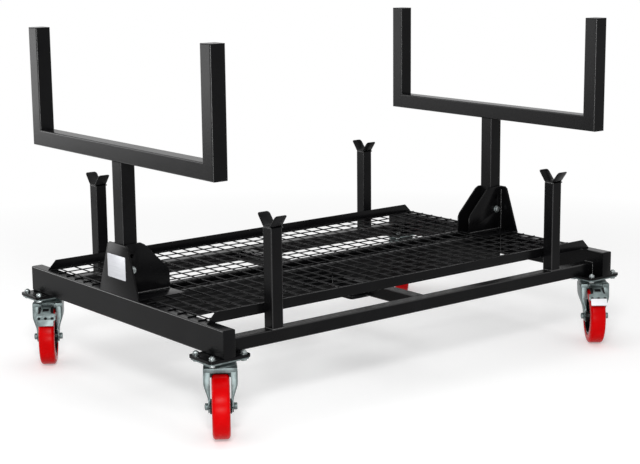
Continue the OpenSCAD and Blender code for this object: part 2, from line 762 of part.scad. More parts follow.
top_plate(-1, -1);  // top_plate_near_left
top_plate(1, -1);  // top_plate_near_right
top_plate(-1, 1);  // top_plate_far_left
top_plate(1, 1);  // top_plate_far_right
fork(-1, -1, near_left_turn, false);  // fork_near_left
fork(1, -1, near_right_turn, true);  // fork_near_right
fork(-1, 1, far_left_turn, true);  // fork_far_left
fork(1, 1, far_right_turn, false);  // fork_far_right
axle(-1, -1, near_left_turn);  // axle_near_left
axle(1, -1, near_right_turn);  // axle_near_right
axle(-1, 1, far_left_turn);  // axle_far_left
axle(1, 1, far_right_turn);  // axle_far_right
wheel_core(-1, -1, near_left_turn);  // wheel_core_near_left
wheel_core(1, -1, near_right_turn);  // wheel_core_near_right
wheel_core(-1, 1, far_left_turn);  // wheel_core_far_left
wheel_core(1, 1, far_right_turn);  // wheel_core_far_right
tyre(-1, -1, near_left_turn);  // tyre_near_left
tyre(1, -1, near_right_turn);  // tyre_near_right
tyre(-1, 1, far_left_turn);  // tyre_far_left
tyre(1, 1, far_right_turn);  // tyre_far_right
brake_pedal(1, -1, near_right_turn);  // brake_pedal_near_right
brake_pedal(-1, 1, far_left_turn);  // brake_pedal_far_left
brake_pad();
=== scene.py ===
import json
import math
from itertools import product

import bmesh
import bpy
from mathutils import Euler, Matrix, Vector

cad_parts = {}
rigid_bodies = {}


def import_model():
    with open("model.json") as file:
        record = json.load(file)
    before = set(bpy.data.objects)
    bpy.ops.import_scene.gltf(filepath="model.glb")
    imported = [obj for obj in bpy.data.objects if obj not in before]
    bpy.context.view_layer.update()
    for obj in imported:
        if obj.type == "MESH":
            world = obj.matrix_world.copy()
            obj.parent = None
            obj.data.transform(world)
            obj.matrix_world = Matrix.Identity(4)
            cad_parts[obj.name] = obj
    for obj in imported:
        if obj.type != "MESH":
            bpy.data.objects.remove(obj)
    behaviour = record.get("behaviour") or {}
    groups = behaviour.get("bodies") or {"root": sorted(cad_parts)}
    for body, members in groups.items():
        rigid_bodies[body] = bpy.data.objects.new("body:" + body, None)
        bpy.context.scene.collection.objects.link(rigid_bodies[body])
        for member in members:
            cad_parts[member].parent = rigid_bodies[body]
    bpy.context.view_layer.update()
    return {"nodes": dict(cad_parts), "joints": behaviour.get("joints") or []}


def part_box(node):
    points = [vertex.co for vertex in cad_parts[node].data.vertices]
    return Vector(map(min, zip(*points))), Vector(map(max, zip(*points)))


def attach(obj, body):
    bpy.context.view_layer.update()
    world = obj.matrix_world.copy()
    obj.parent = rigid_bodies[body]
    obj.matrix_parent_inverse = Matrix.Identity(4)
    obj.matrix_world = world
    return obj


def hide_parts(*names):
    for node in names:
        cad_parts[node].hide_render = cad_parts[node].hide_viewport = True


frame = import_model()
nodes = frame["nodes"]
bpy.ops.object.select_all(action="DESELECT")

# View
# The rack is seen from its near left corner, a little from above, with a long lens. The
# camera's place is measured from the middle of the frame and up from the floor.
lens = 86.23
looks_down = 11.283
looks_right = 38.536
leans = -0.562
stands_left = 3.08651
stands_before = 3.848235
stands_up = 1.37954

camera_data = bpy.data.cameras.new("camera")
camera = bpy.data.objects.new("camera", camera_data)
bpy.context.scene.collection.objects.link(camera)
camera_data.sensor_width = 36
camera_data.lens = lens
camera_data.clip_end = 100
middle = (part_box("end_beam_left")[0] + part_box("end_beam_right")[1]) / 2
look = Euler((math.radians(90 - looks_down), 0, math.radians(-looks_right))).to_matrix()
roll = Matrix.Rotation(math.radians(leans), 3, "Z")
stand = Vector((middle.x - stands_left, middle.y - stands_before, stands_up))
camera.matrix_world = Matrix.Translation(stand) @ (look @ roll).to_4x4()
bpy.context.scene.camera = camera
bpy.context.scene.view_settings.view_transform = "Standard"

# Studio
# A pale floor and a white surround, with large soft lamps above and on the left. The floor
# is plain white card that keeps the soft grey shadows of the rack and fades to bare white.
white = (1, 1, 1, 1)
card_grey = (0.82, 0.82, 0.82, 1)
world_fill = 0.45
card_lift = 0.32
fade_from = 1.6
fade_to = 3.2
floor_size = 40
floor_drop = 0.0005


def add(net, kind, inputs=(), **settings):
    """Adds a shader node. Each input is a socket to link or a value to set."""
    made = net.nodes.new("ShaderNode" + kind)
    for setting, value in settings.items():
        setattr(made, setting, value)
    for place, value in dict(inputs).items():
        if isinstance(value, bpy.types.NodeSocket):
            net.links.new(value, made.inputs[place])
        else:
            made.inputs[place].default_value = value
    return made


def looked_at(net):
    """Gives one where the camera looks, straight, in a mirror or through glass, else zero."""
    ray = add(net, "LightPath").outputs
    direct = {0: ray["Is Camera Ray"], 1: ray["Is Transmission Ray"]}
    seen = add(net, "Math", direct, operation="MAXIMUM").outputs[0]
    return add(net, "Math", {0: seen, 1: ray["Is Glossy Ray"]}, operation="MAXIMUM").outputs[0]


def softbox(name, place, aim, size, power):
    data = bpy.data.lights.new(name, "AREA")
    data.shape = "RECTANGLE"
    data.size, data.size_y = size
    data.energy = power
    lamp = bpy.data.objects.new(name, data)
    bpy.context.scene.collection.objects.link(lamp)
    lamp.location = place
    lamp.rotation_euler = (Vector(aim) - Vector(place)).to_track_quat("-Z", "Y").to_euler()


world = bpy.data.worlds.new("studio")
bpy.context.scene.world = world
world.use_nodes = True
net = world.node_tree
net.nodes.clear()
fill = add(net, "Background", {"Color": white, "Strength": world_fill})
surround = add(net, "Background", {"Color": white, "Strength": 1.0})
choose = add(net, "MixShader", {"Fac": looked_at(net), 1: fill.outputs[0], 2: surround.outputs[0]})
add(net, "OutputWorld", {"Surface": choose.outputs[0]})

bpy.ops.mesh.primitive_plane_add(size=floor_size, location=(0, 0, -floor_drop))
floor = bpy.context.object
floor.name = "floor"
paper = bpy.data.materials.new("floor_card")
paper.use_nodes = True
net = paper.node_tree
net.nodes.clear()
shown = looked_at(net)
card = add(net, "BsdfDiffuse", {"Color": card_grey})
lift = add(net, "Math", {0: shown, 1: card_lift}, operation="MULTIPLY")
glow = add(net, "Emission", {"Color": white, "Strength": lift.outputs[0]})
lit_card = add(net, "AddShader", {0: card.outputs[0], 1: glow.outputs[0]})
where = add(net, "TexCoord").outputs["Object"]
reach = add(net, "VectorMath", {0: where}, operation="LENGTH").outputs["Value"]
beyond = add(net, "MapRange", {"Value": reach, "From Min": fade_from, "From Max": fade_to})
away = add(net, "Math", {0: beyond.outputs["Result"], 1: shown}, operation="MULTIPLY")
blank = add(net, "Emission", {"Color": white, "Strength": 1.0})
fade = add(net, "MixShader", {"Fac": away.outputs[0], 1: lit_card.outputs[0], 2: blank.outputs[0]})
add(net, "OutputMaterial", {"Surface": fade.outputs[0]})
floor.data.materials.append(paper)

softbox("overhead", place=(0.2, 0.4, 4.2), aim=(0, 0, 0), size=(4.0, 3.0), power=45)
softbox("key_box", place=(-2.75, -3.15, 2.8), aim=(0, 0, 0.1), size=(0.9, 0.9), power=90)
softbox("low_box", place=(-3.7, -4.7, 0.6), aim=(0, 0, 0.3), size=(1.1, 0.9), power=95)
softbox("back_left_box", place=(-3.6, 4.4, 0.9), aim=(0, 0, 0.5), size=(2.6, 1.6), power=70)


# Powder-coated tubes
# Beams, rails, runners, cradles and posts are mild steel tube, cut square or mitred, welded
# and powder coated satin black. The coat has a fine orange-peel skin, dulls in patches and
# is drawn thin and shinier over the round corners of the tubes.
def begin(name):
    """Starts a finish: its material, its shader, and the piece's own coordinates."""
    finish = bpy.data.materials.new(name)
    finish.use_nodes = True
    net = finish.node_tree
    return finish, net.nodes["Principled BSDF"], add(net, "TexCoord").outputs["Object"]


def noise(where, scale, detail=2):
    inputs = {"Vector": where, "Scale": scale, "Detail": detail}
    return add(where.id_data, "TexNoise", inputs).outputs["Fac"]


def mottle(skin, cloud, dark, light, stops=(0.3, 0.7)):
    """Lets a noise mix two colours on the shader."""
    tint = add(skin.id_data, "ValToRGB", {"Fac": cloud})
    for stop, colour, place in zip(tint.color_ramp.elements, (dark, light), stops):
        stop.color = (*colour, 1)
        stop.position = place
    skin.id_data.links.new(tint.outputs["Color"], skin.inputs["Base Color"])


def roughen(skin, cloud, least, most):
    """Lets a noise spread the roughness between two values."""
    spread = add(skin.id_data, "MapRange", {"Value": cloud, "To Min": least, "To Max": most})
    skin.id_data.links.new(spread.outputs["Result"], skin.inputs["Roughness"])


def emboss(skin, grain, strength, depth=0.0003):
    """Lets a noise raise the surface."""
    inputs = {"Height": grain, "Strength": strength, "Distance": depth}
    bump = add(skin.id_data, "Bump", inputs)
    skin.id_data.links.new(bump.outputs["Normal"], skin.inputs["Normal"])


def shine_corners(skin, flat, round_over):
    """Raises the gloss where a face looks along none of the three axes, as on round corners."""
    net = skin.id_data
    normal = add(net, "NewGeometry").outputs["Normal"]
    square = add(net, "VectorMath", {0: normal, 1: normal}, operation="MULTIPLY").outputs["Vector"]
    fourth = add(net, "VectorMath", {0: square, 1: square}, operation="DOT_PRODUCT")
    corner = {"Value": fourth.outputs["Value"], "From Min": 1, "From Max": 0.8}
    gloss = add(net, "MapRange", {**corner, "To Min": flat, "To Max": round_over})
    net.links.new(gloss.outputs["Result"], skin.inputs["Specular IOR Level"])


def satin_black(name, scale=1.0, gloss=0.08, rough=(0.2, 0.3), corner_gloss=0):
    finish, skin, where = begin(name)
    cloud = noise(where, 9 * scale, 4)
    mottle(skin, cloud, (0.0018, 0.0018, 0.0021), (0.0040, 0.0040, 0.0044), (0.3, 0.72))
    roughen(skin, cloud, *rough)
    emboss(skin, noise(where, 700 * scale), 0.03)
    skin.inputs["Specular IOR Level"].default_value = gloss
    if corner_gloss:
        shine_corners(skin, gloss, corner_gloss)
    return finish


black_coat = satin_black("black_powder_coat")
tube_coat = satin_black("black_coat_on_tubes", corner_gloss=0.4)
for piece in nodes.values():
    if piece.parent.name == "body:frame":
        piece.data.materials.clear()
        piece.data.materials.append(tube_coat)


# Coated plates
# Caps, pads, lips and bracket plates are cut from flat steel. Their cut edges were broken
# with a file before coating, so each edge shows as a thin bright line.
def only(*pieces):
    bpy.ops.object.select_all(action="DESELECT")
    for piece in pieces:
        piece.select_set(True)
    bpy.context.view_layer.objects.active = pieces[0]


def apply_all(piece):
    only(piece)
    for modifier in list(piece.modifiers):
        bpy.ops.object.modifier_apply(modifier=modifier.name)


def bevelled(piece, width, segments=2, angle=30):
    edge = piece.modifiers.new("edges", "BEVEL")
    edge.width = width
    edge.segments = segments
    edge.limit_method = "ANGLE"
    edge.angle_limit = math.radians(angle)
    apply_all(piece)


def smooth(piece, angle=35):
    only(piece)
    bpy.ops.object.shade_smooth_by_angle(angle=math.radians(angle))


def eased_copy(node, width):
    """Copies a CAD node's mesh, merges its loose triangles and eases its edges."""
    piece = nodes[node].copy()
    piece.data = nodes[node].data.copy()
    for key in list(piece.keys()):
        del piece[key]
    piece.parent = None
    bpy.context.scene.collection.objects.link(piece)
    piece.hide_render = False
    piece.hide_viewport = False
    only(piece)
    bpy.ops.object.mode_set(mode="EDIT")
    bpy.ops.mesh.select_all(action="SELECT")
    bpy.ops.mesh.remove_doubles(threshold=0.00001)
    bpy.ops.mesh.dissolve_limited(angle_limit=math.radians(1))
    bpy.ops.object.mode_set(mode="OBJECT")
    bevelled(piece, width)
    smooth(piece)
    return piece


def hand_over(piece, name, finish, body, slot, *stood_for):
    """Names and coats a finished piece, and says what it rides on and stands for."""
    piece.name = piece.data.name = name
    piece.data.materials.clear()
    piece.data.materials.append(finish)
    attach(piece, body)
    if stood_for:
        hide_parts(*stood_for)


plates = ["beam_caps", "centre_pads", "caster_pads", "arm_caps", "deck_lip_near", "deck_lip_far"]
plates += [name for name in nodes if "bracket" in name]
for name in plates:
    plate = eased_copy(name, 0.0007)
    hand_over(plate, name + "_eased", black_coat, "frame", "black_coat", name)

# Deck mesh
# Two panels of 4 mm welded mesh, the cross wires on top of the long ones, notched at the
# bracket feet and tacked to the end beams and lips. They are coated with the frame.
wire_r = 0.002
pitch = 0.052
panel_in = 0.003
panel_out = 0.446
long_wire = 1.562
long_wire_at_feet = 1.255
cross_wires = 24
first_cross_wire = 0.598
wires_by_foot = 3
first_by_foot = 0.65


def wires(place, length, along_x, count, step):
    turn = (0, math.pi / 2, 0) if along_x else (math.pi / 2, 0, 0)
    bpy.ops.mesh.primitive_cylinder_add(
        vertices=12, radius=wire_r, depth=length, location=place, rotation=turn
    )
    wire = bpy.context.object
    bpy.ops.object.transform_apply()
    if count > 1:
        row_of(wire, count, step)
    return wire


def row_of(piece, count, step):
    """Repeats a piece in a straight row."""
    row = piece.modifiers.new("row", "ARRAY")
    row.count = count
    row.use_relative_offset = False
    row.use_constant_offset = True
    row.constant_offset_displace = step
    apply_all(piece)


def join(pieces):
    only(*pieces)
    bpy.ops.object.join()
    return bpy.context.object


mx, my = middle.x, middle.y
long_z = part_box("deck_mesh_near")[0].z + wire_r
cross_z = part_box("deck_mesh_near")[1].z - wire_r
for side, panel, long_wires, first_long_wire, notch, cut_wires in (
    (-1, "near", 8, 0.0425, 0.1105, 2),
    (1, "far", 9, 0.0165, 0.0315, 1),
):
    along_y = (0, side * pitch, 0)
    cut_y = my + side * first_long_wire
    whole_y = my + side * (first_long_wire + cut_wires * pitch)
    cross_y = my + side * (panel_in + panel_out) / 2
    by_foot_y = my + side * (panel_out + notch) / 2
    cross = (mx - first_cross_wire, cross_y, cross_z)
    rows = [
        wires((mx, cut_y, long_z), long_wire_at_feet, True, cut_wires, along_y),
        wires((mx, whole_y, long_z), long_wire, True, long_wires - cut_wires, along_y),
        wires(cross, panel_out - panel_in, False, cross_wires, (pitch, 0, 0)),
    ]
    for end in (-1, 1):
        by_foot = (mx + end * first_by_foot, by_foot_y, cross_z)
        rows.append(wires(by_foot, panel_out - notch, False, wires_by_foot, (end * pitch, 0, 0)))
    deck = join(rows)
    smooth(deck)
    hand_over(deck, "deck_wires_" + panel, black_coat, "frame", "black_coat", "deck_mesh_" + panel)

# V saddles
# Each saddle is one strip of 5 mm steel folded to a flat-bottomed V with flared tabs, welded
# on top of its post. The corners of the tabs are rounded.
for node in [name for name in nodes if name.startswith("v_saddle")]:
    saddle = eased_copy(node, 0.0009)
    hand_over(saddle, node + "_folded", black_coat, "frame", "black_coat", node)

# Weld beads
# The frame is MIG welded. Each bead is a run of small overlapping ripples along a joint,
# coated over with the rest of the frame. The places of the beads are in millimetres, from
# the frame's middle and up from the floor.
ripple_step = 0.0032
ripple_half = 0.0026
ripple_rise = 0.72
beam_in = 750
rail_y = 475
rail_in = 455
rail_low = 228
rail_high = 265
runner_y = 53
runner_in = 43
runner_out = 63
cross_high = 264
post_x = 570
post_high = 556.5
bracket_x = 782
bracket_high = 456
foot_start = 632
foot_end = 780
wing_y = 32
on_rail = 266.5
on_foot = 313


def at(x, y, z):
    return Vector((mx + x / 1000, my + y / 1000, z / 1000))


def set_down(piece, matrix):
    """Moves a piece's mesh to its place and leaves its object at the origin."""
    piece.data.transform(matrix)
    piece.data.update()
    return piece


def own_copy(piece):
    twin = piece.copy()
    twin.data = piece.data.copy()
    bpy.context.scene.collection.objects.link(twin)
    return twin


def bead(start, end, size=0.0034):
    a, b = at(*start), at(*end)
    along = (b - a).normalized()
    bpy.ops.mesh.primitive_uv_sphere_add(segments=8, ring_count=5, radius=1, location=(0, 0, 0))
    ripple = bpy.context.object
    ripple.scale = (ripple_half, size * ripple_rise, size * ripple_rise)
    bpy.ops.object.transform_apply()
    set_down(ripple, along.to_track_quat("X", "Z").to_matrix().to_4x4())
    set_down(ripple, Matrix.Translation(a))
    row_of(ripple, max(int((b - a).length / ripple_step), 1), along * ripple_step)
    return ripple


beads = []
for side in (-1, 1):
    beam = side * beam_in
    post = side * post_x
    face = side * bracket_x
    beads.append(bead((face + side, -106, 307), (face + side, 28, 307), 0.0036))
    for wing in (-wing_y, wing_y):
        beads.append(bead((face, wing, 310), (face, wing, bracket_high), 0.0046))
        beads.append(bead((side * foot_start, wing, on_foot), (side * foot_end, wing, on_foot)))
    for edge in (-1, 1):
        rail = edge * rail_y
        near, far = rail - 19, rail + 19
        beads.append(bead((beam, near, on_rail), (beam, far, on_rail)))
        for y in (rail - 20.5, rail + 20.5):
            beads.append(bead((beam, y, rail_low), (beam, y, rail_high)))
        beads.append(bead((post - 20, rail - 20.4, on_rail), (post + 20, rail - 20.4, on_rail)))
        for x in (post - 20.6, post + 20.6):
            beads.append(bead((x, near, on_rail + 0.5), (x, far, on_rail + 0.5)))
        for x in (post - 20.4, post + 20.4):
            beads.append(bead((x, near, post_high), (x, far, post_high)))
        for y in (edge * runner_y - 10.5, edge * runner_y + 10.5):
            beads.append(bead((beam, y, 230), (beam, y, 304)))
for edge in (-1, 1):
    for y in (edge * runner_in, edge * runner_out, edge * rail_in):
        for x in (-20.5, 20.5):
            beads.append(bead((x, y, rail_low), (x, y, cross_high)))
welds = join(beads)
only(welds)
bpy.ops.object.shade_smooth()
weld_coat = satin_black("black_coat_on_welds", 2.0, 0.7)
hand_over(welds, "weld_beads", weld_coat, "frame", "black_coat")

# Blank plate
# A small pale plate of thin aluminium is stuck on the left bracket's outer face. It carries
# nothing: its brushed face is left blank.
blank_h = 0.071
blank_w = 0.100
blank_t = 0.0008
bpy.ops.mesh.primitive_plane_add(size=1, location=(0, 0, 0))
plain = bpy.context.object
bpy.ops.object.mode_set(mode="EDIT")
bpy.ops.mesh.select_all(action="SELECT")
bpy.ops.transform.resize(value=(blank_h, blank_w, 1))
bpy.ops.mesh.bevel(offset=0.003, segments=3, affect="VERTICES")
bpy.ops.mesh.select_all(action="SELECT")
bpy.ops.mesh.extrude_region_move(TRANSFORM_OT_translate={"value": (0, 0, blank_t)})
bpy.ops.object.mode_set(mode="OBJECT")
bevelled(plain, 0.0002, 2, 40)
set_down(plain, Matrix.Rotation(math.radians(-90), 4, "Y"))
set_down(plain, Matrix.Translation(at(-790.2, 6, 393)))
smooth(plain)

aluminium, skin, where = begin("brushed_aluminium")
skin.inputs["Metallic"].default_value = 0.25
stretch = add(skin.id_data, "Mapping", {"Vector": where, "Scale": (1, 12, 900)})
brush = noise(stretch.outputs["Vector"], 1.0, 4)
mottle(skin, brush, (0.50, 0.51, 0.54), (0.62, 0.63, 0.66))
roughen(skin, brush, 0.35, 0.5)
hand_over(plain, "blank_plate", aluminium, "frame", "zinc")


# Caster tyres
# A tyre is red polyurethane, cast on the wheel and turned to a flat tread with well rounded
# shoulders. It is satin, with a faint mould haze and fine rolling scuffs on the tread.
def turned(rings, sides=64, closed=False):
    """Draws circle after circle up the Z axis: rings are (radius, height) in metres."""
    radius, height = rings[0]
    bpy.ops.mesh.primitive_circle_add(
        vertices=sides,
        radius=radius,
        location=(0, 0, height),
        fill_type="NOTHING" if closed else "NGON",
    )
    piece = bpy.context.object
    bpy.ops.object.transform_apply()
    bpy.ops.object.mode_set(mode="EDIT")
    bpy.ops.mesh.select_all(action="SELECT")
    for wide, high in rings[1:]:
        bpy.ops.mesh.extrude_region_move(TRANSFORM_OT_translate={"value": (0, 0, high - height)})
        bpy.ops.transform.resize(
            value=(wide / radius, wide / radius, 1), center_override=(0, 0, high)
        )
        radius, height = wide, high
    bpy.ops.mesh.select_all(action="SELECT")
    if closed:
        bpy.ops.mesh.remove_doubles(threshold=0.000001)
    bpy.ops.mesh.normals_make_consistent(inside=False)
    bpy.ops.object.mode_set(mode="OBJECT")
    return piece


def laid_across(piece):
    """Turns a piece that was made along Z to lie along Y, as axles and wheels do."""
    only(piece)
    bpy.ops.object.mode_set(mode="EDIT")
    bpy.ops.mesh.select_all(action="SELECT")
    bpy.ops.transform.rotate(value=math.pi / 2, orient_axis="X", center_override=(0, 0, 0))
    bpy.ops.object.mode_set(mode="OBJECT")
    return piece


corners = ("near_left", "near_right", "far_left", "far_right")
joints = {joint["name"]: joint for joint in frame["joints"]}
lies = {}
for corner in corners:
    pivot = Vector(joints["swivel_" + corner]["pos_m"])
    axle = Vector(joints["spin_" + corner]["pos_m"])
    trail = (axle - pivot).to_2d().normalized()
    turn = Matrix(((trail.x, -trail.y, 0), (trail.y, trail.x, 0), (0, 0, 1))).to_4x4()
    lies[corner] = Matrix.Translation((pivot.x, pivot.y, 0)) @ turn
trail_len = (axle - pivot).to_2d().length
axle_z = axle.z
axle_at = Matrix.Translation((trail_len, 0, axle_z))


def on_casters(master, name, finish, body, slot, *stood_for, which=corners, place=Matrix()):
    """Copies a piece to its casters, where {} in a name is the corner, and drops the master."""
    for corner in which:
        piece = set_down(own_copy(master), lies[corner] @ place)
        replaced = [node.format(corner) for node in stood_for]
        hand_over(piece, name.format(corner), finish, body.format(corner), slot, *replaced)
    bpy.data.objects.remove(master)


tread_r = 0.090
tyre_in = 0.065
tyre_half = 0.025
side_lip = 0.004
round_in = 0.013
round_across = 0.0085
shoulder = [
    (
        tread_r - round_in + round_in * math.sin(math.radians(a)),
        tyre_half - round_across + round_across * math.cos(math.radians(a)),
    )
    for a in range(0, 91, 15)
]
profile = [(tyre_in, -tyre_half), (tyre_in + side_lip, -tyre_half)]
profile += [(r, -h) for r, h in shoulder]
profile += [(r, h) for r, h in reversed(shoulder)]
profile += [(tyre_in + side_lip, tyre_half), (tyre_in, tyre_half), (tyre_in, -tyre_half)]
tyre = laid_across(turned(profile, 96, closed=True))
smooth(tyre, 40)

red, skin, where = begin("red_polyurethane")
skin.inputs["Specular IOR Level"].default_value = 0.05
haze = noise(where, 22, 4)
mottle(skin, haze, (0.49, 0.0002, 0.0008), (0.61, 0.0006, 0.0016), (0.3, 0.75))
roughen(skin, haze, 0.22, 0.32)
emboss(skin, noise(where, 500, 4), 0.05, 0.0002)
on_casters(tyre, "tyre_cast_{}", red, "wheel_{}", "red_tread", "tyre_{}", place=axle_at)

# Wheel cores
# The core is moulded in black nylon: a rim under the tyre, a drafted web and a long hub
# bored for the axle. Its skin is satin, a little cloudy, and fine-grained from the mould.
half = [
    (0.00605, 0.0300),
    (0.0195, 0.0305),
    (0.0207, 0.0297),
    (0.0218, 0.0140),
    (0.0232, 0.0100),
    (0.0265, 0.0078),
    (0.0310, 0.0070),
    (0.0480, 0.0070),
    (0.0520, 0.0080),
    (0.0545, 0.0108),
    (0.0555, 0.0220),
    (0.0565, 0.0230),
    (0.0640, 0.0230),
    (0.0649, 0.0222),
]
rings = [(r, -h) for r, h in half] + [(r, h) for r, h in reversed(half)]
core = laid_across(turned(rings + rings[:1], 96, closed=True))
smooth(core, 30)
nylon = satin_black("black_nylon_core", 1.6)
on_casters(
    core, "wheel_core_moulded_{}", nylon, "wheel_{}", "wheel_core", "wheel_core_{}", place=axle_at
)


# Zinc plating
# Caster plates, forks, axles, pedals and every bolt are steel, zinc plated and clear
# passivated to a bluish grey. The plating clouds a little and shows fine rolling marks.
def zinc_plate(name, colour, rough):
    finish, skin, where = begin(name)
    skin.inputs["Metallic"].default_value = 0.85
    cloud = noise(where, 38, 5)
    mottle(skin, cloud, [0.6 * c for c in colour], [1.35 * c for c in colour])
    roughen(skin, cloud, *rough)
    emboss(skin, noise(where, 420, 3), 0.08)
    return finish


zinc = zinc_plate("zinc_plate", (0.145, 0.177, 0.177), (0.34, 0.5))
bright_zinc = zinc_plate("zinc_bolts", (0.33, 0.36, 0.36), (0.2, 0.34))


# Caster forks
# A fork is one 4 mm steel pressing: a flat crown, two shoulders folded down, and legs that
# draw in to the axle. A turned race cup is riveted on top with the kingpin through it, and
# the two braked forks carry a pair of lugs for the pedal's hinge pin.
def pick(piece, test, faces=False):
    """Selects the corners, or the faces by their middles, that pass the test."""
    mesh = bmesh.from_edit_mesh(piece.data)
    bpy.ops.mesh.select_all(action="DESELECT")
    for item in mesh.faces if faces else mesh.verts:
        if test(item.calc_center_median() if faces else item.co):
            item.select_set(True)
    mesh.select_flush(True)
    bmesh.update_edit_mesh(piece.data)


def pick_edges(piece, test):
    """Selects the edges whose both ends pass the test."""
    bpy.ops.mesh.select_mode(type="EDGE")
    bpy.ops.mesh.select_all(action="DESELECT")
    mesh = bmesh.from_edit_mesh(piece.data)
    for edge in mesh.edges:
        edge.select_set(all(test(v.co) for v in edge.verts))
    bmesh.update_edit_mesh(piece.data)


def next_fold(was, now):
    """Pulls the selected edge on: was and now are (x0, x1, y, z) of its two ends."""
    shift = ((now[0] + now[1] - was[0] - was[1]) / 2, now[2] - was[2], now[3] - was[3])
    bpy.ops.mesh.extrude_region_move(TRANSFORM_OT_translate={"value": shift})
    bpy.ops.transform.resize(
        value=((now[1] - now[0]) / (was[1] - was[0]), 1, 1),
        center_override=((now[0] + now[1]) / 2, now[2], now[3]),
    )


def walled(piece, thickness, offset=-1, even=True, clamp=0):
    """Gives a sheet its thickness."""
    wall = piece.modifiers.new("wall", "SOLIDIFY")
    wall.thickness = thickness
    wall.offset = offset
    wall.use_even_offset = even
    wall.thickness_clamp = clamp
    apply_all(piece)


sheet = 0.004
crown_z = 0.1995
shoulder_z = 0.188
bend_z = 0.152
leg_z = 0.114
foot_z = 0.073
foot_r = 0.0168
bend_r = 0.007
flange_x = 0.049
flange_y = 0.0288
flange_r = 0.005
folds = [
    (-0.030, 0.030, 0.0440, crown_z),
    (-0.035, 0.050, 0.0475, shoulder_z),
    (-0.020, 0.0544, 0.0475, bend_z),
    (0.0094, 0.0591, 0.0350, leg_z),
    (0.0280, 0.0620, 0.0350, 0.090),
    (0.0280, 0.0620, 0.0350, foot_z),
]

# One side is folded down from a narrow strip of the crown, and then mirrored
bpy.ops.mesh.primitive_plane_add(size=1, location=(0, 0.042, crown_z))
fork = bpy.context.object
fork.scale = (0.060, sheet, 1)
bpy.ops.object.transform_apply()
bpy.ops.object.mode_set(mode="EDIT")
pick_edges(fork, lambda p: p.y > 0.0439)
for was, now in zip(folds, folds[1:]):
    next_fold(was, now)
bpy.ops.mesh.select_mode(type="VERT")
pick(fork, lambda p: p.z < foot_z + 0.0005)
bpy.ops.mesh.bevel(offset=foot_r, offset_type="OFFSET", segments=7, affect="VERTICES")
pick_edges(fork, lambda p: leg_z - 0.001 < p.z < shoulder_z + 0.001 and p.x > flange_x)
bpy.ops.mesh.extrude_region_move(TRANSFORM_OT_translate={"value": (0, -sheet, 0)})
bpy.ops.transform.resize(value=(1, 0, 1), center_override=(0, flange_y, 0))
for height in (bend_z, leg_z):
    pick_edges(fork, lambda p: abs(p.z - height) < 0.0005 and p.y > 0.034)
    bpy.ops.mesh.bevel(offset=bend_r, segments=3, affect="EDGES")
mesh = bmesh.from_edit_mesh(fork.data)
bpy.ops.mesh.select_all(action="DESELECT")
for edge in mesh.edges:
    if len(edge.link_faces) != 2 or edge.verts[0].co.x <= flange_x:
        continue
    if edge.calc_face_angle(0) > 1.0:
        edge.select_set(all(leg_z + 0.002 < v.co.z < shoulder_z + 0.0005 for v in edge.verts))
bmesh.update_edit_mesh(fork.data)
bpy.ops.mesh.bevel(offset=flange_r, segments=3, affect="EDGES")
bpy.ops.object.mode_set(mode="OBJECT")
mirror = fork.modifiers.new("both_legs", "MIRROR")
mirror.use_axis = (False, True, False)
mirror.use_mirror_merge = False
apply_all(fork)
bpy.ops.object.mode_set(mode="EDIT")
for side in (-1, 1):
    pick(fork, lambda p: p.y * side > 0, faces=True)
    bpy.ops.mesh.normals_make_consistent(inside=False)
    mesh = bmesh.from_edit_mesh(fork.data)
    foot = [f for f in mesh.faces if f.select and f.calc_center_median().z < 0.09]
    if foot[0].normal.y * side < 0:
        bpy.ops.mesh.flip_normals()
bpy.ops.object.mode_set(mode="OBJECT")
walled(fork, sheet, clamp=1)
bevelled(fork, 0.0006, 2, 45)
smooth(fork)

# Round hood over the ball races, drawn down on the side away from the wheel
hood = turned(
    [
        (0.0300, 0.1990),
        (0.0418, 0.1990),
        (0.0426, 0.1850),
        (0.0432, 0.1842),
        (0.0455, 0.1842),
        (0.0460, 0.1850),
        (0.0458, 0.1950),
        (0.0448, 0.1995),
        (0.0424, 0.2022),
        (0.0400, 0.2030),
        (0.0300, 0.2030),
    ],
    72,
)
for v in hood.data.vertices:
    if v.co.z < 0.19 and v.co.x < 0:
        v.co.z -= min(0.035, -1.6 * v.co.x)
race_cup = turned(
    [
        (0.0320, 0.1872),
        (0.0345, 0.1885),
        (0.0375, 0.1940),
        (0.0375, 0.1975),
        (0.0350, 0.1988),
    ],
)

# Plate over the wheel with a lip folded down at its edge
lip_h = 0.0145
bpy.ops.mesh.primitive_plane_add(size=1, location=(0.0345, 0, 0.1992))
front = bpy.context.object
front.scale = (0.028, 0.094, 1)
bpy.ops.object.transform_apply()
bpy.ops.object.mode_set(mode="EDIT")
pick_edges(front, lambda p: p.x > 0.048)
bpy.ops.mesh.extrude_region_move(TRANSFORM_OT_translate={"value": (0, 0, -lip_h)})
bpy.ops.object.mode_set(mode="OBJECT")
walled(front, 0.003)
bevelled(front, 0.0012, 3, 40)
plain_fork = join([fork, hood, race_cup, front])

# Lugs under the crown of the braked forks
lug_y = 0.024
lugs = []
for across in (-lug_y, lug_y):
    bpy.ops.mesh.primitive_cube_add(size=1, location=(0.0455, across, 0.1933))
    lug = bpy.context.object
    lug.scale = (0.027, sheet, 0.0124)
    bpy.ops.object.transform_apply()
    bevelled(lug, 0.0015, 3)
    lugs.append(lug)
braked_fork = join([own_copy(plain_fork)] + lugs)
smooth(plain_fork)
smooth(braked_fork)
braked = ("near_right", "far_left")
for corner in corners:
    kind = braked_fork if corner in braked else plain_fork
    fork = set_down(own_copy(kind), lies[corner])
    hand_over(fork, "fork_pressed_" + corner, zinc, "swivel_" + corner, "zinc", "fork_" + corner)
bpy.data.objects.remove(plain_fork)
bpy.data.objects.remove(braked_fork)


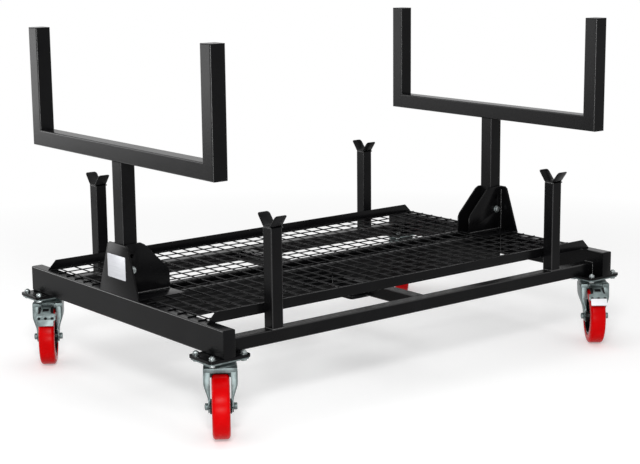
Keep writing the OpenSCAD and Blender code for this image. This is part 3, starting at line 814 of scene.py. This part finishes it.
# Caster axles
# Each axle is a 12 mm bolt through the fork and the hub, with a hexagon head on one side and
# a locking nut on the other, both 18 mm across flats.
def hexagon(across, low, high, chamfer):
    """Hexagon along Z with its upper corners chamfered."""
    bpy.ops.mesh.primitive_cylinder_add(
        vertices=6,
        radius=across / math.sqrt(3),
        depth=high - low,
        location=(0, 0, (low + high) / 2),
    )
    head = bpy.context.object
    bpy.ops.object.transform_apply()
    bpy.ops.object.mode_set(mode="EDIT")
    pick(head, lambda p: p.z > high - 0.0001)
    bpy.ops.mesh.bevel(offset=chamfer, segments=1, affect="VERTICES")
    bpy.ops.object.mode_set(mode="OBJECT")
    bevelled(head, 0.00035, 2, 25)
    return head


upside_down = Matrix.Rotation(math.pi, 4, "X")
axle_hex = 0.018
axle_r = 0.0059
axle_half = 0.045
leg_face = 0.035
axle_head = hexagon(axle_hex, leg_face, axle_half, 0.0022)
axle_nut = hexagon(axle_hex, leg_face, axle_half - 0.001, 0.0022)
axle_nut.data.transform(upside_down)
axle_rod = turned([(0.0050, -axle_half), (axle_r, -axle_half + 0.001), (axle_r, 0.040)], 32)
axle_bolt = laid_across(join([axle_head, axle_nut, axle_rod]))
smooth(axle_bolt, 30)
on_casters(axle_bolt, "axle_bolt_{}", zinc, "swivel_{}", "zinc", "axle_{}", place=axle_at)

# Caster top plates
# The top plate is 5 mm steel with four slotted bolt holes, bolted under the black pad. Its
# edges are sheared and slightly rounded over.
for corner in corners:
    node = "top_plate_" + corner
    hand_over(eased_copy(node, 0.0006), node + "_sheared", zinc, "frame", "zinc", node)

# Caster bolts
# Sixteen 10 mm hexagon bolts come up through the top plates, with nuts and plain washers on
# the black pads. The threads stand a little proud of the nuts.
bolt_low, bolt_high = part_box("caster_bolts")
plate_low = bolt_low.z + 0.006
pad_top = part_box("caster_pads")[1].z
bolt_hex = 0.016
bolt_r = 0.0049
washer_r = 0.0098
washer_t = 0.0012
nut_h = 0.008
caster_x = 0.765
caster_y = 0.485
plate_hole_x = 0.0525
plate_hole_y = 0.040
head = hexagon(bolt_hex, 0, plate_low - bolt_low.z - washer_t, 0.0018)
head.data.transform(Matrix.Translation((0, 0, plate_low - washer_t)) @ upside_down)
washer = turned([(washer_r, plate_low - washer_t), (washer_r, plate_low)], 32)
nut = hexagon(bolt_hex, pad_top + washer_t, pad_top + nut_h, 0.0018)
upper_washer = turned([(washer_r, pad_top), (washer_r, pad_top + washer_t)], 32)
tail = turned([(bolt_r, plate_low), (bolt_r, bolt_high.z - 0.0008), (0.0042, bolt_high.z)], 24)
caster_bolt = join([head, washer, nut, upper_washer, tail])
smooth(caster_bolt, 30)
bolts = []
for sx, sy, hx, hy in product((-1, 1), repeat=4):
    x = mx + sx * caster_x + hx * plate_hole_x
    y = my + sy * caster_y + hy * plate_hole_y
    turn = Matrix.Rotation(math.radians(17 * hx + 31 * hy + 11 * sx), 4, "Z")
    bolts.append(set_down(own_copy(caster_bolt), Matrix.Translation((x, y, 0)) @ turn))
bpy.data.objects.remove(caster_bolt)
hand_over(join(bolts), "caster_bolts_turned", bright_zinc, "frame", "zinc", "caster_bolts")

# Cradle bolts
# Each cradle post is held in its bracket by one 12 mm bolt across both wings, with large
# washers. A second pair of holes above it is left open.
cradle_x = 0.759
wing_face = 0.031
big_washer_r = 0.0120
big_washer_out = wing_face + 0.0015
cradle_low, cradle_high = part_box("cradle_bolts")
cradle_middle = (cradle_low + cradle_high) / 2
bolt_out = (cradle_high.y - cradle_low.y) / 2
head = hexagon(0.018, big_washer_out, bolt_out, 0.0022)
washer = turned(
    [
        (0.0115, wing_face),
        (big_washer_r, wing_face + 0.0004),
        (big_washer_r, big_washer_out),
    ],
    40,
)
near_end = join([head, washer])
far_end = own_copy(near_end)
far_end.data.transform(upside_down)
shank = turned([(axle_r, -bolt_out + 0.002), (axle_r, bolt_out - 0.002)], 32)
cradle_bolt = laid_across(join([near_end, far_end, shank]))
smooth(cradle_bolt, 30)
pair = []
for x in (mx - cradle_x, mx + cradle_x):
    place = Matrix.Translation((x, cradle_middle.y, cradle_middle.z))
    pair.append(set_down(own_copy(cradle_bolt), place))
bpy.data.objects.remove(cradle_bolt)
hand_over(join(pair), "cradle_bolts_turned", bright_zinc, "frame", "zinc", "cradle_bolts")


# Brake pedals
# Two of the casters have a pressed pedal behind the wheel: a neck with a window, a wide bar
# with three holes and a turned-down flap. It turns on a pin between the fork's lugs.
def on_arc(reach, angle, half_width=0):
    """Gives (x, z, half width) at a reach from the axle and an angle back from upright."""
    turn = math.radians(angle)
    return trail_len + reach * math.sin(turn), axle_z + reach * math.cos(turn), half_width


def folded(rows):
    """Bends a strip of sheet through rows of (x, z, half width), its outer face outwards."""
    seed = 0.01
    x, z, half_width = rows[0]
    bpy.ops.mesh.primitive_circle_add(vertices=4, radius=seed)
    strip = bpy.context.object
    bpy.ops.object.mode_set(mode="EDIT")
    bpy.ops.mesh.select_mode(type="VERT")
    pick(strip, lambda p: p.x < seed / 2)
    bpy.ops.mesh.delete(type="VERT")
    bpy.ops.mesh.select_all(action="SELECT")
    bpy.ops.transform.translate(value=(x - seed, -half_width, z))
    bpy.ops.mesh.extrude_region_move(TRANSFORM_OT_translate={"value": (0, 2 * half_width, 0)})
    bpy.ops.mesh.select_mode(type="EDGE")
    bpy.ops.mesh.select_all(action="SELECT")
    for was, now in zip(rows, rows[1:]):
        shift = (now[0] - was[0], 0, now[1] - was[1])
        bpy.ops.mesh.extrude_region_move(TRANSFORM_OT_translate={"value": shift})
        bpy.ops.transform.resize(
            value=(1, now[2] / was[2], 1), center_override=(now[0], 0, now[1])
        )
    bpy.ops.mesh.select_all(action="SELECT")
    bpy.ops.mesh.normals_make_consistent(inside=False)
    mesh = bmesh.from_edit_mesh(strip.data)
    mesh.faces.ensure_lookup_table()
    if mesh.faces[0].normal.z < 0:
        bpy.ops.mesh.flip_normals()
    bpy.ops.object.mode_set(mode="OBJECT")
    return strip


def cut_out(piece, cutter, angle, reach, across):
    """Cuts a hole square to the pedal at an angle and a reach from the axle."""
    x, z, _ = on_arc(reach, angle)
    turn = Matrix.Rotation(math.radians(angle), 4, "Y")
    set_down(cutter, Matrix.Translation((x, across, z)) @ turn)
    knife = piece.modifiers.new("cut", "BOOLEAN")
    knife.operation = "DIFFERENCE"
    knife.object = cutter
    knife.solver = "EXACT"
    apply_all(piece)
    bpy.data.objects.remove(cutter)


hinge_half = 0.0190
neck_half = 0.0150
bar_half = 0.0310
flap_half = 0.0250
pedal = folded(
    [
        on_arc(0.1060, 4, hinge_half),
        on_arc(0.1075, 11, hinge_half),
        on_arc(0.1105, 17, neck_half),
        on_arc(0.1125, 30, neck_half),
        on_arc(0.1135, 36, 0.0170),
        on_arc(0.1135, 37.5, bar_half),
        on_arc(0.1096, 47.6, bar_half),
        on_arc(0.1085, 49.5, flap_half),
        on_arc(0.1060, 53, flap_half),
        on_arc(0.1060, 58, flap_half),
    ]
)
walled(pedal, 0.003)

# Window in the neck and three holes in the bar
cut_reach = 0.112
cut_depth = 0.04
hole_r = 0.0048
hole_y = 0.0205
bpy.ops.mesh.primitive_cube_add(size=1)
window = bpy.context.object
window.scale = (0.0170, 0.0195, cut_depth)
bpy.ops.object.transform_apply()
cut_out(pedal, window, 27, cut_reach, 0)
for across in (-hole_y, 0, hole_y):
    bpy.ops.mesh.primitive_cylinder_add(vertices=24, radius=hole_r, depth=cut_depth)
    cut_out(pedal, bpy.context.object, 45, cut_reach, across)
bevelled(pedal, 0.0005, 2, 40)

# Hinge pin, which ends just short of the lugs
pin = turned([(0.0030, -0.0218), (0.0035, -0.0212), (0.0035, 0.0212), (0.0030, 0.0218)], 24)
pin_x, pin_z, _ = on_arc(0.1045, 4)
set_down(laid_across(pin), Matrix.Translation((pin_x, 0, pin_z)))
pressed = join([pedal, pin])
smooth(pressed)
names = ("brake_pedal_{}_pressed", "brake_pedal_{}")
on_casters(pressed, names[0], zinc, "pedal_{}", "zinc", names[1], which=braked)

# Shade strips
# A dark sheet sits behind each pedal's window and holes, between the pedal and the
# tyre. It is painted shade, standing in for the shade the pedal casts on the tyre there.
strip = folded(
    [
        on_arc(0.1045, 14, 0.0235),
        on_arc(0.1068, 33, 0.0235),
        on_arc(0.1072, 38.5, 0.0270),
        on_arc(0.1055, 47, 0.0270),
    ]
)
walled(strip, 0.002, offset=0, even=False)
bevelled(strip, 0.0004, 2, 40)
smooth(strip)
# The sheet's black is painted shade behind the pedal's window and holes.
shade_sheet = satin_black("painted_shade_sheet", 3.0, 0.2, (0.6, 0.75))
on_casters(strip, "brake_strip_{}", shade_sheet, "pedal_{}", "black_coat", which=braked)

# White pad
# The near right pedal's flap carries a pad moulded in white plastic, slightly cloudy, with
# its edges rounded over.
white_plastic, skin, where = begin("white_pad_plastic")
skin.inputs["Roughness"].default_value = 0.45
cloud = noise(where, 60)
mottle(skin, cloud, (0.72, 0.73, 0.76), (0.84, 0.85, 0.87), (0, 1))
emboss(skin, cloud, 0.1)
pad = eased_copy("brake_pad", 0.0009)
hand_over(pad, "brake_pad_moulded", white_plastic, "pedal_near_right", "white_pad", "brake_pad")
